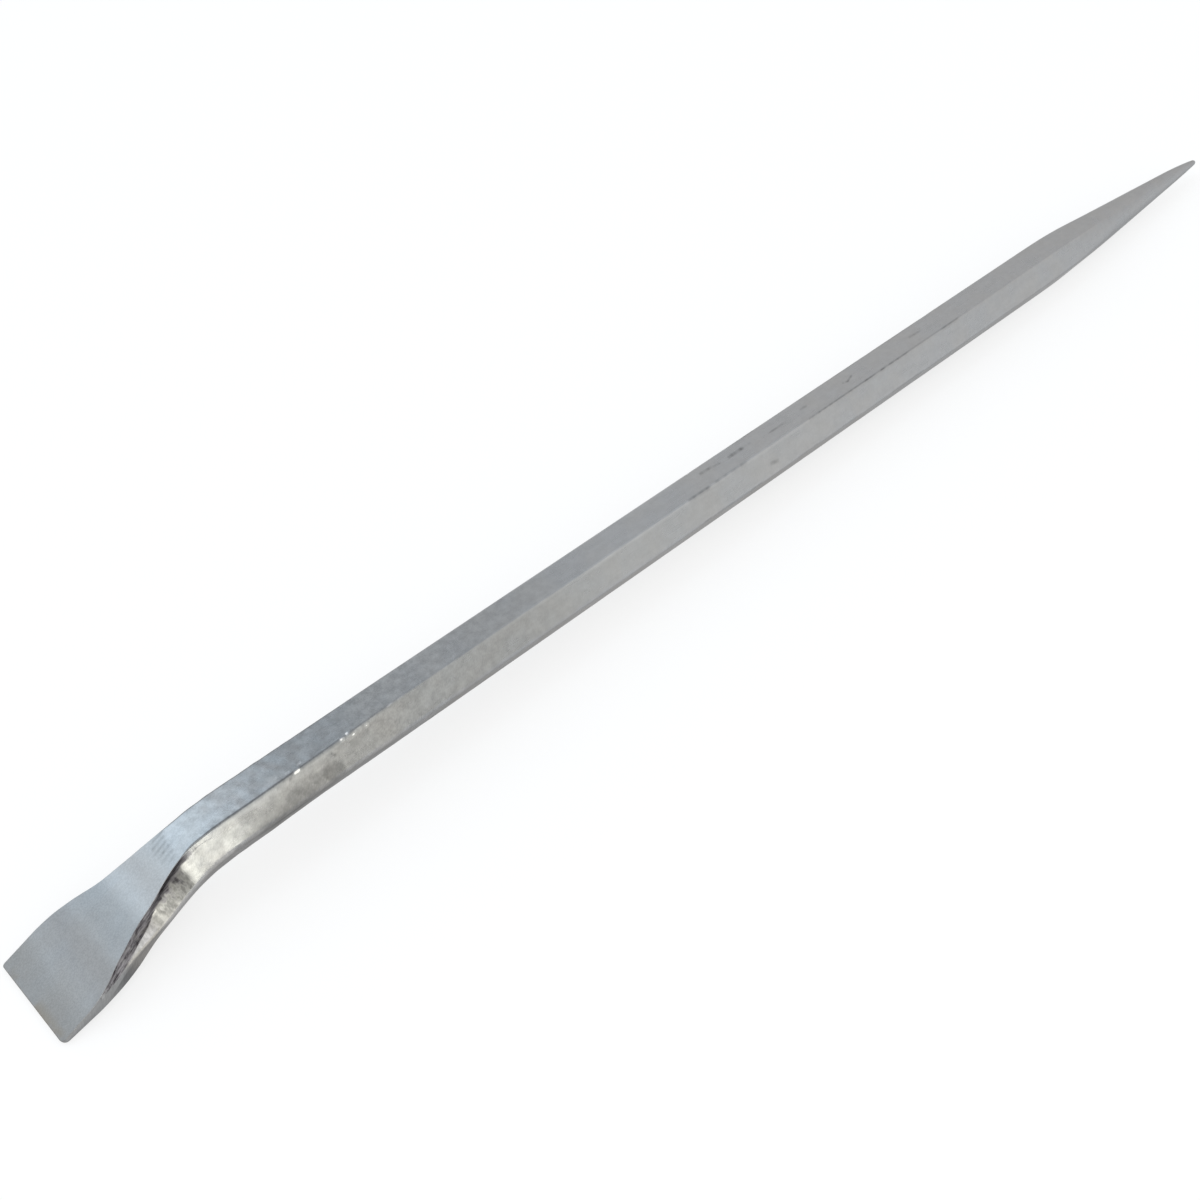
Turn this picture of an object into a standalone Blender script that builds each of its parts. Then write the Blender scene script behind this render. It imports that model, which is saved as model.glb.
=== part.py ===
"""Alignment bar: one forging from hexagonal bar, a bent chisel blade at one end and a point at the other.

The bar is lofted straight, from the cutting edge to the point, and the blade is then bent down.
Metres, +Z up, +X towards the point. The bar lies as it would on a floor, on the blade's cutting
edge and on its lower flat, with the origin on the floor under the middle of its bounding box.
"""
from math import atan, ceil, cos, pi, radians, sin, sqrt, tan
from typing import NamedTuple

import bmesh
import bpy

mm = 0.001

# Bar
across_flats = 22.2 * mm          # hexagonal stock
overall_length = 745.0 * mm       # cutting edge to point, along the bar
corner_break = 0.5 * mm           # taken off each flat along the bar's corners
dressed_thickness = 20.2 * mm     # top to bottom flat beside the bend, dressed after forging
dressed_run = 75.0 * mm           # bar over which the dressed flats run out

# Bend
bend_angle = radians(18.2)
bend_radius = 114.0 * mm          # at the bar's axis
blade_reach = 57.2 * mm           # straight blade from the bend to the cutting edge
belly_depth = 0.9 * mm            # how far the inside of the bend bulges down, at its deepest
belly_run = 33.0 * mm             # bar over which the bulge runs out

# Blade, from the cutting edge back to the bar
edge_width = 41.7 * mm
edge_thickness = 1.7 * mm
edge_rounding = 0.35 * mm         # of the cutting edge, seen from the side
blade_corner_radius = 2.2 * mm    # of the blade's two corners, seen from above
lip_break = 0.3 * mm              # taken off along the sharp edges of the blade

front_run = 14.0 * mm             # cutting edge to front
front_width = 41.1 * mm
front_thickness = 4.6 * mm

shoulder_run = 6.5 * mm           # front to shoulder, where the flare begins
shoulder_width = 39.5 * mm
shoulder_thickness = 6.7 * mm

heel_run = 10.5 * mm              # shoulder to heel, where the bar's side flat comes to its end
heel_width = 33.3 * mm
heel_thickness = 10.9 * mm
heel_wall = 5.2 * mm              # height of the wall under the spread edge of the top face
heel_belly = 0.5 * mm             # how far the bottom bulges down there
heel_drop = 0.4 * mm              # how far the side ridge lies below the middle there

waist_run = 12.0 * mm             # heel to waist
waist_width = 25.1 * mm
waist_thickness = 13.0 * mm
waist_wall = 5.3 * mm
waist_belly = 0.75 * mm
waist_drop = 0.8 * mm
waist_spread = 3.1 * mm           # how far the side ridge is pushed out past the bar's corner

flank_run = 7.5 * mm              # waist to flank
flank_width = 22.0 * mm
flank_thickness = 14.4 * mm
flank_wall = 2.7 * mm
flank_belly = 0.65 * mm
flank_drop = 1.7 * mm
flank_spread = 2.1 * mm

throat_run = 15.5 * mm            # flank to throat, where the wall starts
throat_width = 15.2 * mm
throat_thickness = 19.4 * mm
throat_wall = 1.9 * mm
throat_belly = 0.5 * mm
throat_drop = 1.0 * mm

neck_run = 8.0 * mm               # throat to neck, the narrowest place
neck_thickness = 21.0 * mm
neck_belly = 0.5 * mm
neck_drop = 0.5 * mm
neck_pinch = 0.6 * mm             # how far the side ridge is drawn in at the neck
bar_run = 18.0 * mm               # neck to the full bar

wall_undercut = 0.3 * mm          # how far the wall leans in under the edge
side_crown = 0.25 * mm            # how far the blade's thin sides bulge

# Point
cone_half_angle = radians(4.0)
cone_length = 130.3 * mm          # point back to where the cone would meet the flats
cone_blend = 35.0 * mm            # half the length over which flats and cone run together
round_end = 88.0 * mm             # from the point back to here the taper is round
round_run = 62.0 * mm             # behind it, the flats come in over this length
nose_length = 32.0 * mm           # end of the cone that curves in to the point
nose_drop = 0.75 * mm             # how far the nose curves in
nose_sag = 0.7 * mm               # how far the tip lies below the axis
point_length = 1.4 * mm           # rounded end

# Fineness
blade_step = 1.6 * mm             # between sections of the blade and the bend
dressed_step = 4.0 * mm           # between sections beside the bend
bar_step = 15.0 * mm              # between sections of the plain bar
taper_step = 5.0 * mm             # between sections of the point


class Station(NamedTuple):
    """A cross-section of the straight forging, alike on its left and right sides."""
    distance: float       # from the cutting edge, along the forging
    face: float           # half width of the top and bottom faces
    rise: float           # half thickness
    ridge: float          # half width across the side ridges
    ridge_height: float   # of the ridge, above the middle
    wall: float           # from the top face down to the foot of the wall
    undercut: float       # from the top face's edge in to the foot; negative where the side slopes out
    break_: float         # taken off along the edges of the faces
    belly: float          # how far the bottom face lies below the half thickness


def hexagon_face(rise):
    """Half width of the flat that lies at a height in the hexagonal bar."""
    return (across_flats - rise) / sqrt(3)


def bar_station(distance, rise):
    """The hexagonal bar with its top and bottom flats at a half thickness."""
    slope = 1 / sqrt(3)
    corner = across_flats / sqrt(3)
    return Station(distance, hexagon_face(rise), rise, corner, 0, rise / 2, -rise / 2 * slope, corner_break, 0)


def blade_side(distance, width, thickness):
    """A section of the thin blade, whose sides stand square to its faces."""
    crown = min(side_crown, thickness / 6)
    return Station(distance, width / 2, thickness / 2, width / 2 + crown, 0, thickness / 4, -crown / 2,
                   lip_break, 0)


def stations():
    """The sections that shape the forging, from the cutting edge to the plain bar."""
    corner = across_flats / sqrt(3)
    front = front_run
    shoulder = front + shoulder_run
    heel = shoulder + heel_run
    waist = heel + waist_run
    flank = waist + flank_run
    throat = flank + throat_run
    neck = throat + neck_run
    bar = neck + bar_run
    bar_rise = dressed_thickness / 2
    full_rise = across_flats / 2
    return [
        blade_side(0, edge_width, edge_thickness),
        blade_side(front, front_width, front_thickness),
        blade_side(shoulder, shoulder_width, shoulder_thickness),
        Station(heel, heel_width / 2, heel_thickness / 2, heel_width / 2 + side_crown, -heel_drop,
                heel_wall, wall_undercut, lip_break, heel_belly),
        Station(waist, waist_width / 2, waist_thickness / 2, corner + waist_spread, -waist_drop,
                waist_wall, wall_undercut, lip_break, waist_belly),
        Station(flank, flank_width / 2, flank_thickness / 2, corner + flank_spread, -flank_drop,
                flank_wall, wall_undercut, lip_break, flank_belly),
        Station(throat, throat_width / 2, throat_thickness / 2, corner, -throat_drop,
                throat_wall, wall_undercut / 2, lip_break, throat_belly),
        Station(neck, hexagon_face(neck_thickness / 2), neck_thickness / 2, corner - neck_pinch, -neck_drop,
                throat_wall, -throat_wall / sqrt(3), corner_break, neck_belly),
        bar_station(bar, bar_rise)._replace(belly=belly_depth),
        bar_station(bar + belly_run, bar_rise + (full_rise - bar_rise) * belly_run / dressed_run),
        bar_station(bar + dressed_run, full_rise),
    ]


def slopes(at, values):
    """Slopes for a smooth curve through the values that never overshoots them."""
    steps = [(values[i + 1] - values[i]) / (at[i + 1] - at[i]) for i in range(len(at) - 1)]
    inner = [0 if a * b <= 0 else 2 * a * b / (a + b) for a, b in zip(steps, steps[1:])]
    return [steps[0]] + inner + [0]


def curve(at, values):
    """A function that runs smoothly through the values."""
    tangents = slopes(at, values)

    def value(x):
        if x >= at[-1]:
            return values[-1]
        i = max(k for k in range(len(at) - 1) if at[k] <= x)
        run = at[i + 1] - at[i]
        t = (x - at[i]) / run
        start = values[i] * (1 + 2 * t) * (1 - t) ** 2 + tangents[i] * run * t * (1 - t) ** 2
        end = values[i + 1] * t * t * (3 - 2 * t) - tangents[i + 1] * run * t * t * (1 - t)
        return start + end

    return value


def corner(before, point, after, cut):
    """Three points that round a corner of a section."""
    ends = []
    for other in (before, after):
        length = sqrt((other[0] - point[0]) ** 2 + (other[1] - point[1]) ** 2)
        share = min(cut, 0.4 * length) / length
        ends.append((point[0] + (other[0] - point[0]) * share, point[1] + (other[1] - point[1]) * share))
    middle = tuple((ends[0][k] + 2 * point[k] + ends[1][k]) / 4 for k in (0, 1))
    return [ends[0], middle, ends[1]]


def outline(s):
    """The points round a section, clockwise from the middle of the top face, as (y, z)."""
    top = (0, s.rise)
    edge = (s.face, s.rise)
    foot = (s.face - s.undercut, s.rise - s.wall)
    ridge = (s.ridge, s.ridge_height)
    floor = -s.rise - s.belly
    lower_edge = (s.face, floor)
    lower_foot = ((s.face + s.ridge) / 2, (s.ridge_height + floor) / 2)
    bottom = (0, floor)
    side = corner(top, edge, foot, s.break_) + [foot]
    side += corner(foot, ridge, lower_foot, corner_break) + [lower_foot]
    side += corner(lower_foot, lower_edge, bottom, s.break_)
    mirrored = [(-y, z) for y, z in reversed(side)]
    return [top] + side + [bottom] + mirrored


def forged_outline(shape, distance):
    """The section at a distance from the cutting edge, with the blade's corners rounded in plan."""
    s = Station(distance, *(column(distance) for column in shape))
    points = outline(s)
    if distance < blade_corner_radius:
        gap = blade_corner_radius - distance
        narrower = blade_corner_radius - sqrt(blade_corner_radius ** 2 - gap ** 2)
        points = [(y * (1 - narrower / s.ridge), z) for y, z in points]
    if distance < edge_rounding:
        gap = edge_rounding - distance
        thinner = edge_rounding - sqrt(edge_rounding ** 2 - gap ** 2)
        points = [(y, z * (1 - thinner / s.rise)) for y, z in points]
    return points


def point_width(x):
    """Width of the taper across its flats, at a distance from the point."""
    slope = 2 * tan(cone_half_angle)
    start = cone_length + cone_blend
    if x >= start:
        return across_flats
    if x > cone_length - cone_blend:
        return across_flats - slope * (start - x) ** 2 / (4 * cone_blend)
    width = across_flats - slope * (cone_length - x)
    if x < nose_length:
        width -= 2 * nose_drop * (1 - x / nose_length) ** 2
    if x < point_length:
        width *= sqrt(1 - (1 - x / point_length) ** 2)
    return width


def point_outline(x):
    """The taper's section at a distance from the point: a hexagon that turns round."""
    width = point_width(x)
    hexagon = outline(bar_station(0, across_flats / 2))
    t = min(max((round_end + round_run - x) / round_run, 0), 1)
    roundness = t * t * (3 - 2 * t)
    sag = nose_sag * max(1 - x / nose_length, 0) ** 2
    points = []
    for i, (y, z) in enumerate(hexagon):
        angle = 2 * pi * i / len(hexagon)
        scale = width / across_flats
        points.append((scale * y + (sin(angle) * width / 2 - scale * y) * roundness,
                       scale * z + (cos(angle) * width / 2 - scale * z) * roundness - sag))
    return points


def bent(distance, y, z):
    """A point of the straight forging, moved to where the bend puts it."""
    arc = bend_radius * bend_angle
    turned = min(max((blade_reach + arc - distance) / bend_radius, 0), bend_angle)
    straight = max(blade_reach - distance, 0)
    beyond = max(distance - blade_reach - arc, 0)
    x = beyond - bend_radius * sin(turned) - straight * cos(bend_angle) - z * sin(turned)
    height = z * cos(turned) - bend_radius * (1 - cos(turned)) - straight * sin(bend_angle)
    edge = bend_radius * sin(bend_angle) + blade_reach * cos(bend_angle)
    return (x + edge, y, height)


def spread(start, end, step):
    """Distances from start up to just before the end, evenly spaced and no further apart than step."""
    count = ceil((end - start) / step)
    return [start + (end - start) * i / count for i in range(count)]


def sections():
    """Every section of the bar in its place, from the cutting edge to the point."""
    table = stations()
    at = [s.distance for s in table]
    shape = [curve(at, column) for column in list(zip(*table))[1:]]
    shortened = bend_radius * (bend_angle - sin(bend_angle)) + blade_reach * (1 - cos(bend_angle))
    length = overall_length + shortened
    bend_end = blade_reach + bend_radius * bend_angle
    plain_bar = max(at[-1], bend_end)
    taper = max(cone_length + cone_blend, round_end + round_run)

    corner_rings = [blade_corner_radius * (1 - cos(pi / 2 * i / 4)) for i in range(4)]
    edge_rings = [edge_rounding * i / 3 for i in (1, 2)]
    distances = sorted(corner_rings + edge_rings)
    distances += spread(blade_corner_radius, bend_end, blade_step)
    distances += spread(bend_end, plain_bar, dressed_step)
    distances += spread(plain_bar, length - taper, bar_step)
    rings = [[bent(d, y, z) for y, z in forged_outline(shape, d)] for d in distances]

    remaining = [point_length * (1 - cos(pi / 2 * (i + 1) / 5)) for i in range(4)]
    remaining += spread(point_length, nose_length, taper_step / 2)
    remaining += spread(nose_length, taper, taper_step) + [taper]
    return rings + [[bent(length - r, y, z) for y, z in point_outline(r)] for r in reversed(remaining)]


def loft(name, rings):
    """A closed mesh through the rings, with flat ends."""
    bm = bmesh.new()
    loops = [[bm.verts.new(point) for point in ring] for ring in rings]
    count = len(rings[0])
    for first, second in zip(loops, loops[1:]):
        for i in range(count):
            k = (i + 1) % count
            bm.faces.new((first[i], first[k], second[k], second[i]))
    bm.faces.new(loops[0])
    bm.faces.new(loops[-1])
    bmesh.ops.recalc_face_normals(bm, faces=bm.faces)
    mesh = bpy.data.meshes.new(name)
    bm.to_mesh(mesh)
    bm.free()
    mesh.shade_smooth()
    mesh.set_sharp_from_angle(angle=radians(28))
    return mesh


def plated_steel():
    """Zinc-plated forged steel: pale, cool grey and softly bright."""
    material = bpy.data.materials.new("zinc_plated_steel")
    material.use_nodes = True
    shader = material.node_tree.nodes["Principled BSDF"]
    shader.inputs["Base Color"].default_value = (0.56, 0.58, 0.60, 1)
    shader.inputs["Metallic"].default_value = 1.0
    shader.inputs["Roughness"].default_value = 0.34
    return material


def rest_angle(points):
    """The tilt at which the bar lies on its cutting edge and its lower flat."""
    lowest = min(points, key=lambda p: p[2])
    beyond = [p for p in points if p[0] > lowest[0] + across_flats]
    return atan(min((p[2] - lowest[2]) / (p[0] - lowest[0]) for p in beyond))


def main():
    for old in list(bpy.data.objects):
        bpy.data.objects.remove(old, do_unlink=True)
    collection = bpy.data.collections.new("alignment_bar")
    bpy.context.scene.collection.children.link(collection)

    rings = sections()
    points = [point for ring in rings for point in ring]
    tilt = rest_angle(points)
    turned = [(x * cos(tilt) + z * sin(tilt), y, z * cos(tilt) - x * sin(tilt)) for x, y, z in points]
    low = [min(p[k] for p in turned) for k in range(3)]
    high = [max(p[k] for p in turned) for k in range(3)]

    bar = bpy.data.objects.new("forged_bar", loft("forged_bar", rings))
    bar.data.materials.append(plated_steel())
    collection.objects.link(bar)
    floor = bpy.data.objects.new("resting_place", None)
    floor.rotation_euler = (0, tilt, 0)
    floor.location = (-(low[0] + high[0]) / 2, 0, -low[2])
    collection.objects.link(floor)
    bar.parent = floor
    bpy.context.view_layer.update()


main()
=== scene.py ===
import random
from math import atan, atan2, cos, pi, radians, sin, sqrt, tan

import bmesh
import bpy
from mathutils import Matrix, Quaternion, Vector, noise


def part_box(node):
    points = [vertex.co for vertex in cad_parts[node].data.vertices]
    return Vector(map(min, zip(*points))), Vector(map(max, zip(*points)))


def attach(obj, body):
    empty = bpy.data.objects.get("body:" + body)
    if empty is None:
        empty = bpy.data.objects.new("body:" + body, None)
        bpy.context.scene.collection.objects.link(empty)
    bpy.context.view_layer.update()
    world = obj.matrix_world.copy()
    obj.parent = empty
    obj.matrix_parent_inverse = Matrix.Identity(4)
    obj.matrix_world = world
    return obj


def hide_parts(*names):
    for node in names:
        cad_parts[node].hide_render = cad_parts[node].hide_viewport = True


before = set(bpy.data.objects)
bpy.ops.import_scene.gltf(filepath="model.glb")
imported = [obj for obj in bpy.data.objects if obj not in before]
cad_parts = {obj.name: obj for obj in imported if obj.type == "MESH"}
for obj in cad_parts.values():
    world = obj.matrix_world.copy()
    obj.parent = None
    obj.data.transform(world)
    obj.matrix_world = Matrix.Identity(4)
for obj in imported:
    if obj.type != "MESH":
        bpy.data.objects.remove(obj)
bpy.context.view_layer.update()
mm = 0.001

studio = {
    "lens": 43.789,
    "sensorWidth": 36,
    "cameraPlace": Vector((-394.23, -326.10, 443.39)) * mm,
    "cameraAim": Vector((-114.32, -11.80, 15.00)) * mm,
    "cameraRoll": radians(-3.343),
    "floorSize": 6.0,
    "floorColour": (0.30, 0.30, 0.30, 1),
    "floorGlow": 0.71,  # what the camera, metal and glass see on top of the lit floor
    # the room's brightness, by the sine of the height above the floor
    "walls": {0.0: (0.97, 0.97, 0.97, 1), 0.2: (0.95, 0.95, 0.95, 1), 0.6: (0.82, 0.82, 0.83, 1),
              0.8: (0.76, 0.79, 0.81, 1), 1.0: (0.60, 0.62, 0.65, 1)},
}

# light added to the room round one place: its compass side and height, how far out it is still full and
# where it has faded, all in degrees, and how bright it is
glows = {
    "frontGlow": dict(side=-98, up=-5, core=10, reach=20, radiance=(3.5, 3.5, 3.12)),
    "warmGlow": dict(side=-98, up=5, core=15, reach=50, radiance=(0.08, 0.07, 0.0)),
    "backGlow": dict(side=110, up=49, core=10, reach=34, radiance=(0.66, 0.82, 0.93)),
}

softLamp = {  # above and in front, near the camera
    "place": Vector((-0.75, -0.95, 1.7)),
    "size": 1.5,
    "radiance": 0.85,
}


def addCamera():
    camera = bpy.data.objects.new("camera", bpy.data.cameras.new("camera"))
    camera.data.lens = studio["lens"]
    camera.data.sensor_width = studio["sensorWidth"]
    camera.location = studio["cameraPlace"]
    aim = (studio["cameraAim"] - studio["cameraPlace"]).to_track_quat("-Z", "Y")
    camera.rotation_euler = (aim @ Quaternion((0, 0, 1), studio["cameraRoll"])).to_euler()
    bpy.context.scene.collection.objects.link(camera)
    bpy.context.scene.camera = camera


def addNode(tree, kind, inputs=(), **settings):
    node = tree.nodes.new("ShaderNode" + kind)
    for name, value in settings.items():
        setattr(node, name, value)
    for socket, value in dict(inputs).items():
        if isinstance(value, bpy.types.NodeSocket):
            tree.links.new(value, node.inputs[socket])
        else:
            node.inputs[socket].default_value = value
    return node


def calculate(tree, operation, first, second):
    return addNode(tree, "Math", {0: first, 1: second}, operation=operation).outputs[0]


def product(tree, first, second):
    return calculate(tree, "MULTIPLY", first, second)


def addUp(tree, *values):
    result = values[0]
    for value in values[1:]:
        result = calculate(tree, "ADD", result, value)
    return result


def blend(tree, share, first, second):  # 6 and 7 are a Mix node's colour inputs, and 2 its colour output
    return addNode(tree, "Mix", {0: share, 6: first, 7: second}, data_type="RGBA").outputs[2]


def remap(tree, value, low, high, toLow=0.0, toHigh=1.0):
    return addNode(tree, "MapRange", {"Value": value, "From Min": low, "From Max": high, "To Min": toLow,
                                      "To Max": toHigh}, interpolation_type="SMOOTHSTEP").outputs[0]


def addFloor():
    bm = bmesh.new()
    bmesh.ops.create_grid(bm, x_segments=1, y_segments=1, size=studio["floorSize"] / 2)
    mesh = bpy.data.meshes.new("floor")
    bm.to_mesh(mesh)
    bm.free()
    material = bpy.data.materials.new("paperWhite")
    material.use_nodes = True
    tree = material.node_tree
    tree.nodes.clear()
    path = addNode(tree, "LightPath")
    seen = calculate(tree, "MAXIMUM", path.outputs["Is Camera Ray"], path.outputs["Is Glossy Ray"])
    seen = calculate(tree, "MAXIMUM", seen, path.outputs["Is Transmission Ray"])
    glow = product(tree, seen, studio["floorGlow"])
    paper = addNode(tree, "BsdfDiffuse", {"Color": studio["floorColour"]})
    light = addNode(tree, "Emission", {"Color": (1, 1, 1, 1), "Strength": glow})
    both = addNode(tree, "AddShader", {0: paper.outputs[0], 1: light.outputs[0]})
    addNode(tree, "OutputMaterial", {"Surface": both.outputs[0]})
    mesh.materials.append(material)
    floor = bpy.data.objects.new("floor", mesh)
    bpy.context.scene.collection.objects.link(floor)


def compass(side, up):  # the direction of a compass side and a height, in degrees
    side, up = radians(side), radians(up)
    return Vector((cos(side) * cos(up), sin(side) * cos(up), sin(up)))


def addWorld():  # a white room, greyer overhead, with soft glows
    world = bpy.data.worlds.new("studio")
    bpy.context.scene.world = world
    world.use_nodes = True
    tree = world.node_tree
    tree.nodes.clear()
    way = addNode(tree, "TexCoord").outputs["Generated"]
    height = addNode(tree, "SeparateXYZ", {0: way}).outputs["Z"]
    ramp = addNode(tree, "ValToRGB", {"Fac": height})
    stops = ramp.color_ramp.elements
    for i, (place, colour) in enumerate(studio["walls"].items()):
        stop = stops[i] if i < 2 else stops.new(place)  # a new ramp has two
        stop.position, stop.color = place, colour
    light = ramp.outputs["Color"]
    for glow in glows.values():
        middle = compass(glow["side"], glow["up"])
        near = addNode(tree, "VectorMath", {0: way, 1: middle}, operation="DOT_PRODUCT").outputs["Value"]
        share = remap(tree, near, cos(radians(glow["reach"])), cos(radians(glow["core"])))
        light = addNode(tree, "VectorMath", {0: glow["radiance"], 1: share, 2: light},
                        operation="MULTIPLY_ADD").outputs[0]
    room = addNode(tree, "Background", {"Color": light, "Strength": 1})
    backdrop = addNode(tree, "Background", {"Color": (1, 1, 1, 1), "Strength": 1})
    path = addNode(tree, "LightPath")
    seen = addNode(tree, "MixShader", {0: path.outputs["Is Camera Ray"], 1: room.outputs[0],
                                       2: backdrop.outputs[0]})
    addNode(tree, "OutputWorld", {"Surface": seen.outputs[0]})


def addSoftLamp():
    lamp = bpy.data.lights.new("softLamp", "AREA")
    lamp.size = softLamp["size"]
    lamp.energy = softLamp["radiance"] * pi * softLamp["size"] ** 2  # watts that give this radiance
    lampObject = bpy.data.objects.new("softLamp", lamp)
    lampObject.location = softLamp["place"]
    lampObject.rotation_euler = softLamp["place"].to_track_quat("Z", "Y").to_euler()
    lampObject.visible_camera = False
    bpy.context.scene.collection.objects.link(lampObject)


bar = {
    "acrossFlats": 22.2 * mm,  # hexagonal stock
    "length": 745.0 * mm,  # cutting edge to point
    "cornerCut": 0.6 * mm,  # taken off each flat along the corners
    "ridgeCut": 1.3 * mm,  # and along the side ridges
    "dressedThickness": 20.2 * mm,  # top to bottom flat beside the bend
    "dressedRun": 75.0 * mm,  # and how far it takes to reach the full thickness
    "bendAngle": radians(18.2),
    "bendRadius": 114.0 * mm,  # of the bar's middle line
    "bladeReach": 57.2 * mm,  # straight blade beyond the bend
    "edgeRounding": 0.35 * mm,  # of the cutting edge, seen from the side
    "bladeCornerRadius": 2.2 * mm,  # of the blade's near corner, seen from above
    "farCornerRadius": 1.3 * mm,  # and of its far corner
    "lipCut": 0.2 * mm,  # taken off along the blade's sharp edges
    "footCut": 0.35 * mm,  # hollow corner at the foot of the wall
    "plainFootCut": 0.1 * mm,  # the same where there is no wall
    "wallUndercut": 0.3 * mm,  # how far the spread edge overhangs the wall
    "sideCrown": 0.25 * mm,  # how far the blade's thin sides bulge
    "bellyDepth": 0.9 * mm,  # the inside of the bend bulges down
    "bellyRun": 33.0 * mm,  # and is flat again after this length
    "barRun": 18.0 * mm,  # neck to the full bar
}

# the blade's sections from the cutting edge back to the neck, in mm: run is the distance from the one
# before, wall the height of the step under the spread top face, lift the height of the side ridge above the
# middle, spread how far the ridge stands out past the bar's corner, belly how far the bottom bulges down
blade = {
    "edge": dict(run=0, width=41.7, thickness=1.7),
    "front": dict(run=14, width=41.1, thickness=4.6),
    "shoulder": dict(run=6.5, width=39.5, thickness=6.7),
    "heel": dict(run=10.5, width=33.3, thickness=10.9, wall=5.2, lift=-0.4, belly=0.5),
    "waist": dict(run=12, width=25.1, thickness=13.0, wall=5.3, lift=-0.8, spread=3.1, belly=0.75),
    "flank": dict(run=7.5, width=22.0, thickness=14.4, wall=2.7, lift=-1.7, spread=2.1, belly=0.65),
    "throat": dict(run=15.5, width=15.2, thickness=19.4, wall=1.9, lift=-1.0, spread=0, belly=0.5),
    "neck": dict(run=8, thickness=21.0, wall=1.9, lift=-0.5, spread=-0.6, belly=0.5),
}

point = {
    "halfAngle": radians(4.0),
    "coneLength": 130.3 * mm,  # to where the cone would meet the flats
    "coneBlend": 35.0 * mm,  # half the length over which the flats turn into the cone
    "roundEnd": 88.0 * mm,  # the taper is round up to here
    "roundRun": 62.0 * mm,  # and the flats come in over this length
    "noseLength": 32.0 * mm,
    "noseDrop": 0.75 * mm,  # how far the nose draws in at the tip
    "noseSag": 0.7 * mm,  # and how far it sinks there
    "tipLength": 2.2 * mm,  # of the rounded end
}

# steps round half a section, from the middle of the top to the middle of the bottom
around = {"top": 13, "edge": 5, "wall": 5, "foot": 3, "flank": 9, "ridge": 5, "lower": 9, "lowerEdge": 5,
          "bottom": 10}
regions = [name for name, steps in around.items() for _ in range(steps)]
begins = {name: regions.index(name) for name in around}  # steps from the middle of the top to each region
topFace = ("top", "edge")
hollow = ("wall", "foot")
sides = [name for name in around if name not in topFace]  # all the rest


def regionOf(index):  # the part of the section that a point lies in, alike on both sides
    return regions[max(min(index, 2 * len(regions) - index) - 1, 0)]


def barShape(at, rise):  # the hexagonal bar, its top and bottom flats at a half thickness
    corner = bar["acrossFlats"] / sqrt(3)
    return dict(at=at, face=(bar["acrossFlats"] - rise) / sqrt(3), rise=rise, ridge=corner, ridgeHeight=0,
                wall=rise / 2, undercut=-rise / 2 / sqrt(3), cut=bar["cornerCut"],
                footCut=bar["plainFootCut"], belly=0, flush=1)


def bladeShape(at, size):  # thin sections have square sides, thick ones a wall over a ridge
    size = {name: value * mm for name, value in size.items()}
    half = size["width"] / 2
    crown = min(bar["sideCrown"], size["thickness"] / 6)  # less where the blade is thin
    walled = "wall" in size
    return dict(at=at, face=half, rise=size["thickness"] / 2,
                ridge=bar["acrossFlats"] / sqrt(3) + size["spread"] if "spread" in size else half + crown,
                ridgeHeight=size.get("lift", 0), wall=size.get("wall", size["thickness"] / 4),
                undercut=bar["wallUndercut"] if walled else -crown / 2, cut=bar["lipCut"],
                footCut=bar["footCut" if walled else "plainFootCut"], belly=size.get("belly", 0), flush=0)


def neckShape(at, size):  # nearly the bar, drawn in at its ridges
    size = {name: value * mm for name, value in size.items()}
    shape = barShape(at, size["thickness"] / 2)
    shape.update(ridge=shape["ridge"] + size["spread"], ridgeHeight=size["lift"], wall=size["wall"],
                 undercut=-size["wall"] / sqrt(3), belly=size["belly"])
    return shape


def shapes():  # the sections that shape the forging, from the cutting edge to the plain bar
    at, table = 0, []
    for name, size in blade.items():
        at += size["run"] * mm
        table.append(neckShape(at, size) if name == "neck" else bladeShape(at, size))
        if name == "throat":
            table[-1]["undercut"] /= 2  # the wall is running out
    at += bar["barRun"]
    dressed, full = bar["dressedThickness"] / 2, bar["acrossFlats"] / 2
    between = dressed + (full - dressed) * bar["bellyRun"] / bar["dressedRun"]
    table.append(barShape(at, dressed) | dict(belly=bar["bellyDepth"]))
    table.append(barShape(at + bar["bellyRun"], between))
    table.append(barShape(at + bar["dressedRun"], full))
    return table


def smoothCurve(at, values):  # runs smoothly through the values and never past them
    steps = [(values[i + 1] - values[i]) / (at[i + 1] - at[i]) for i in range(len(at) - 1)]
    inner = [0 if a * b <= 0 else 2 * a * b / (a + b) for a, b in zip(steps, steps[1:])]
    slopes = [steps[0]] + inner + [0]

    def value(x):
        if x >= at[-1]:
            return values[-1]
        i = max(k for k in range(len(at) - 1) if at[k] <= x)
        run = at[i + 1] - at[i]
        t = (x - at[i]) / run
        start = values[i] * (1 + 2 * t) * (1 - t) ** 2 + slopes[i] * run * t * (1 - t) ** 2
        return start + values[i + 1] * t * t * (3 - 2 * t) - slopes[i + 1] * run * t * t * (1 - t)

    return value


def roundedCorner(before, corner, after, cut, steps):  # takes at most 0.4 of either side
    start, end = (corner + (other - corner) * min(cut / (other - corner).length, 0.4)
                  for other in (before, after))
    way = [i / steps for i in range(steps + 1)]
    return [start * (1 - t) ** 2 + corner * 2 * t * (1 - t) + end * t ** 2 for t in way]


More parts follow.
